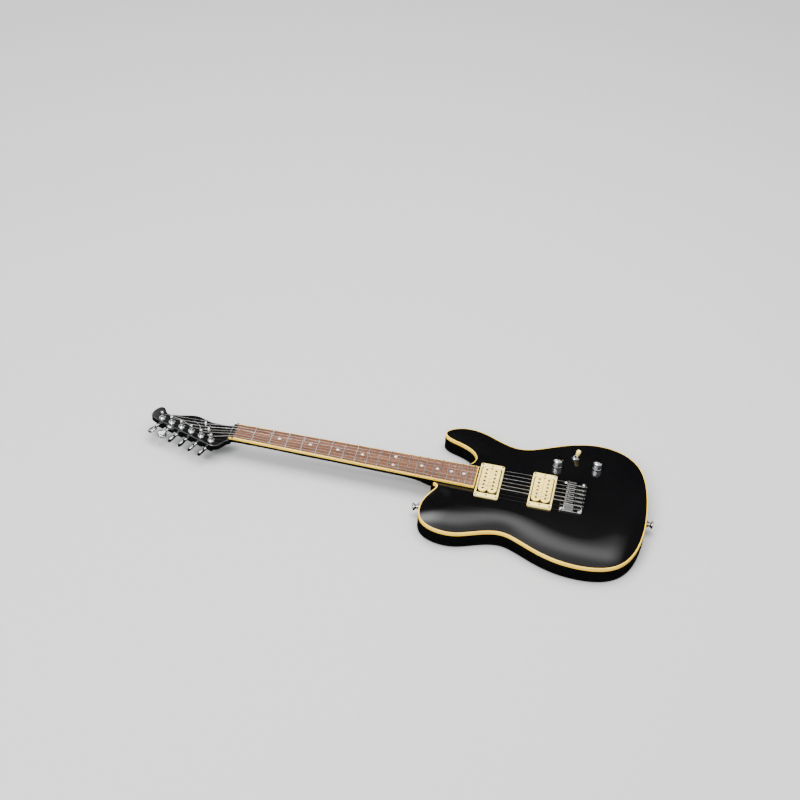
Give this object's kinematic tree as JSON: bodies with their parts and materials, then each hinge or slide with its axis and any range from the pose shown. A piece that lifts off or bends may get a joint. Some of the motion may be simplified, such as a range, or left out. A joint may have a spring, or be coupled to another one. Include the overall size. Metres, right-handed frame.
{
  "type": "electric guitar",
  "caption": "Single-cutaway solid-body electric guitar with carved bound top, bolt-on neck, humbuckers, fixed bridge and in-line tuners.",
  "frame": {"origin": "on the flat back face, on the centreline, at the middle of the body's length", "axes": "+X from the headstock to the end of the body, +Y to the treble side with the cutaway, +Z out of the top, lying on its back"},
  "size_m": [0.9914, 0.3329, 0.0648],
  "materials": {
    "black_lacquer": "wood under polished black lacquer",
    "cream_binding": "aged yellow-cream celluloid, polished",
    "rosewood": "oiled open-grained rosewood with nickel frets",
    "black_plastic": "moulded black, satin",
    "cream_plastic": "moulded cream, soft gloss",
    "switch_tip": "moulded cream tip on a steel lever",
    "string_wire": "nickel-plated wound and plain steel",
    "steel": "zinc-plated",
    "saddle_chrome": "polished chrome",
    "chrome": "polished chrome"
  },
  "bodies": {
    "guitar": {"body": "black_lacquer", "body_binding": "cream_binding", "bridge_plate": "chrome", "control_cover": "black_plastic", "fingerboard": "rosewood", "fingerboard_binding": "cream_binding", "jack_plate": "chrome", "jack_socket": "steel", "neck": "black_lacquer", "neck_plate": "chrome", "neck_screw_1": "steel", "neck_screw_2": "steel", "neck_screw_3": "steel", "neck_screw_4": "steel", "nut": "black_plastic", "pickup_bridge": "cream_plastic", "pickup_neck": "cream_plastic", "pickup_ring_bridge": "cream_plastic", "pickup_ring_neck": "cream_plastic", "pot_tone": "steel", "pot_volume": "steel", "strap_button_end": "chrome", "strap_button_shoulder": "chrome", "string_1": "string_wire", "string_2": "string_wire", "string_3": "string_wire", "string_4": "string_wire", "string_5": "string_wire", "string_6": "string_wire", "string_tree_middle": "chrome", "string_tree_treble": "chrome", "switch_body": "chrome", "truss_rod": "steel", "tuner_housing_1": "chrome", "tuner_housing_2": "chrome", "tuner_housing_3": "chrome", "tuner_housing_4": "chrome", "tuner_housing_5": "chrome", "tuner_housing_6": "chrome"},
    "button_1": {"tuner_button_1": "chrome"},
    "post_1": {"tuner_post_1": "chrome"},
    "saddle_block_1": {"saddle_1": "saddle_chrome"},
    "button_2": {"tuner_button_2": "chrome"},
    "post_2": {"tuner_post_2": "chrome"},
    "saddle_block_2": {"saddle_2": "saddle_chrome"},
    "button_3": {"tuner_button_3": "chrome"},
    "post_3": {"tuner_post_3": "chrome"},
    "saddle_block_3": {"saddle_3": "saddle_chrome"},
    "button_4": {"tuner_button_4": "chrome"},
    "post_4": {"tuner_post_4": "chrome"},
    "saddle_block_4": {"saddle_4": "saddle_chrome"},
    "button_5": {"tuner_button_5": "chrome"},
    "post_5": {"tuner_post_5": "chrome"},
    "saddle_block_5": {"saddle_5": "saddle_chrome"},
    "button_6": {"tuner_button_6": "chrome"},
    "post_6": {"tuner_post_6": "chrome"},
    "saddle_block_6": {"saddle_6": "saddle_chrome"},
    "volume_control": {"knob_volume": "chrome"},
    "tone_control": {"knob_tone": "chrome"},
    "pickup_selector": {"switch_lever": "switch_tip"}
  },
  "joints": [
    {"name": "button_1_turn", "type": "hinge", "parent": "guitar", "child": "button_1", "pos_m": [-0.74886, 0.00836, 0.026], "axis": [-0.3584, -0.9336, 0], "continuous": true},
    {"name": "post_1_turn", "type": "hinge", "parent": "guitar", "child": "post_1", "pos_m": [-0.7427, 0.006, 0.0435], "axis": [0, 0, 1], "continuous": true},
    {"name": "saddle_1_slide", "type": "slide", "parent": "guitar", "child": "saddle_block_1", "axis": [1, 0, 0], "range_m": [-0.0025, 0.001]},
    {"name": "button_2_turn", "type": "hinge", "parent": "guitar", "child": "button_2", "pos_m": [-0.72686, 0.00117, 0.026], "axis": [-0.3584, -0.9336, 0], "continuous": true},
    {"name": "post_2_turn", "type": "hinge", "parent": "guitar", "child": "post_2", "pos_m": [-0.7207, -0.0012, 0.0435], "axis": [0, 0, 1], "continuous": true},
    {"name": "saddle_2_slide", "type": "slide", "parent": "guitar", "child": "saddle_block_2", "axis": [1, 0, 0], "range_m": [-0.0025, 0.001]},
    {"name": "button_3_turn", "type": "hinge", "parent": "guitar", "child": "button_3", "pos_m": [-0.70486, -0.00604, 0.026], "axis": [-0.3584, -0.9336, 0], "continuous": true},
    {"name": "post_3_turn", "type": "hinge", "parent": "guitar", "child": "post_3", "pos_m": [-0.6987, -0.0084, 0.0435], "axis": [0, 0, 1], "continuous": true},
    {"name": "saddle_3_slide", "type": "slide", "parent": "guitar", "child": "saddle_block_3", "axis": [1, 0, 0], "range_m": [-0.0025, 0.001]},
    {"name": "button_4_turn", "type": "hinge", "parent": "guitar", "child": "button_4", "pos_m": [-0.68286, -0.01324, 0.026], "axis": [-0.3584, -0.9336, 0], "continuous": true},
    {"name": "post_4_turn", "type": "hinge", "parent": "guitar", "child": "post_4", "pos_m": [-0.6767, -0.0156, 0.0435], "axis": [0, 0, 1], "continuous": true},
    {"name": "saddle_4_slide", "type": "slide", "parent": "guitar", "child": "saddle_block_4", "axis": [1, 0, 0], "range_m": [-0.0025, 0.001]},
    {"name": "button_5_turn", "type": "hinge", "parent": "guitar", "child": "button_5", "pos_m": [-0.66086, -0.02043, 0.026], "axis": [-0.3584, -0.9336, 0], "continuous": true},
    {"name": "post_5_turn", "type": "hinge", "parent": "guitar", "child": "post_5", "pos_m": [-0.6547, -0.0228, 0.0435], "axis": [0, 0, 1], "continuous": true},
    {"name": "saddle_5_slide", "type": "slide", "parent": "guitar", "child": "saddle_block_5", "axis": [1, 0, 0], "range_m": [-0.0025, 0.001]},
    {"name": "button_6_turn", "type": "hinge", "parent": "guitar", "child": "button_6", "pos_m": [-0.63886, -0.02763, 0.026], "axis": [-0.3584, -0.9336, 0], "continuous": true},
    {"name": "post_6_turn", "type": "hinge", "parent": "guitar", "child": "post_6", "pos_m": [-0.6327, -0.03, 0.0435], "axis": [0, 0, 1], "continuous": true},
    {"name": "saddle_6_slide", "type": "slide", "parent": "guitar", "child": "saddle_block_6", "axis": [1, 0, 0], "range_m": [-0.0025, 0.001]},
    {"name": "volume_turn", "type": "hinge", "parent": "guitar", "child": "volume_control", "pos_m": [0.0272, 0.079, 0.0452], "axis": [0, 0, 1], "range_deg": [0, 300]},
    {"name": "tone_turn", "type": "hinge", "parent": "guitar", "child": "tone_control", "pos_m": [0.1027, 0.0925, 0.0452], "axis": [0, 0, 1], "range_deg": [0, 300]},
    {"name": "selector_throw", "type": "hinge", "parent": "guitar", "child": "pickup_selector", "pos_m": [0.0585, 0.11, 0.041], "axis": [0, 1, 0], "range_deg": [-24, 0]}
  ],
  "couplings": [
    {"joint": "post_1_turn", "follows": "button_1_turn", "ratio": -0.071429},
    {"joint": "post_2_turn", "follows": "button_2_turn", "ratio": -0.071429},
    {"joint": "post_3_turn", "follows": "button_3_turn", "ratio": -0.071429},
    {"joint": "post_4_turn", "follows": "button_4_turn", "ratio": -0.071429},
    {"joint": "post_5_turn", "follows": "button_5_turn", "ratio": -0.071429},
    {"joint": "post_6_turn", "follows": "button_6_turn", "ratio": -0.071429}
  ]
}
